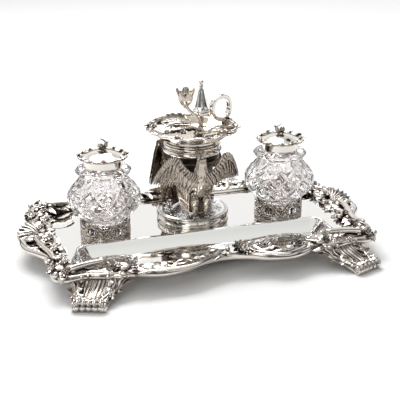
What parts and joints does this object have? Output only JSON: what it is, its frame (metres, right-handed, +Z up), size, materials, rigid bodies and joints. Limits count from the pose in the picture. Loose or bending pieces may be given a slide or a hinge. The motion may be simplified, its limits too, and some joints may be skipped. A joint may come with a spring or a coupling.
{
  "type": "inkwell",
  "caption": "Footed rococo inkstand: a tray with a pen trough, cut-glass ink bottles in pierced galleries, and eagles carrying a lift-off chamberstick with a snuffer.",
  "frame": {"origin": "middle of the object's footprint, on the surface that it stands on", "axes": "+X along the tray, -Y towards the writer (the pen trough's side), +Z up"},
  "size_m": [0.364, 0.2626, 0.1645],
  "materials": {
    "polished_silver": "mirror-polished sterling silver",
    "cast_silver": "cast and chased silver, brown-grey oxide in the recesses",
    "eagle_silver": "cast silver with a warm oxidised finish",
    "gallery_silver": "pierced cast silver, oxidised recesses",
    "engraved_silver": "bright silver, engraved with flowers",
    "foliage_silver": "cast silver leaves and flowers",
    "cut_glass": "clear cut glass with a faint lilac tint",
    "fixings": "plain brass, unpolished"
  },
  "bodies": {
    "stand": {"tray_plate": "polished_silver", "border_front": "cast_silver", "border_back": "cast_silver", "border_left": "cast_silver", "border_right": "cast_silver", "foot_front_left": "cast_silver", "foot_front_right": "cast_silver", "foot_back_left": "cast_silver", "foot_back_right": "cast_silver", "gallery_left": "gallery_silver", "gallery_right": "gallery_silver", "plinth_drum": "polished_silver", "plinth_top": "engraved_silver", "plinth_stud": "fixings", "plinth_nut": "fixings", "eagle_front": "eagle_silver", "eagle_back_left": "eagle_silver", "eagle_back_right": "eagle_silver", "wings_front": "eagle_silver", "wings_back_left": "eagle_silver", "wings_back_right": "eagle_silver", "eagle_nuts": "fixings", "collar_ring": "polished_silver", "wafer_bowl": "polished_silver"},
    "bottle_left": {"bottle_left": "cut_glass"},
    "bottle_right": {"bottle_right": "cut_glass"},
    "cover_left": {"cover_cap_left": "polished_silver", "cover_band_left": "polished_silver", "cover_border_left": "cast_silver", "cover_finial_left": "foliage_silver"},
    "cover_right": {"cover_cap_right": "polished_silver", "cover_band_right": "polished_silver", "cover_border_right": "cast_silver", "cover_finial_right": "foliage_silver"},
    "chamberstick": {"pan": "polished_silver", "pan_border": "cast_silver", "pan_bezel": "polished_silver", "leaf": "foliage_silver", "flower_stem": "foliage_silver", "taper_socket": "foliage_silver", "finger_ring": "polished_silver", "snuffer_seat": "polished_silver"},
    "snuffer": {"snuffer_cone": "polished_silver", "snuffer_knob": "polished_silver", "snuffer_lug": "polished_silver"}
  },
  "joints": [
    {"name": "bottle_left_lift", "type": "slide", "parent": "stand", "child": "bottle_left", "axis": [0, 0, 1], "range_m": [0, 0.06]},
    {"name": "bottle_right_lift", "type": "slide", "parent": "stand", "child": "bottle_right", "axis": [0, 0, 1], "range_m": [0, 0.06]},
    {"name": "cover_left_lift", "type": "slide", "parent": "bottle_left", "child": "cover_left", "axis": [0, 0, 1], "range_m": [0, 0.04]},
    {"name": "cover_right_lift", "type": "slide", "parent": "bottle_right", "child": "cover_right", "axis": [0, 0, 1], "range_m": [0, 0.04]},
    {"name": "chamberstick_lift", "type": "slide", "parent": "stand", "child": "chamberstick", "axis": [0, 0, 1], "range_m": [0, 0.07]},
    {"name": "snuffer_lift", "type": "slide", "parent": "chamberstick", "child": "snuffer", "axis": [0, 0, 1], "range_m": [0, 0.045]}
  ]
}
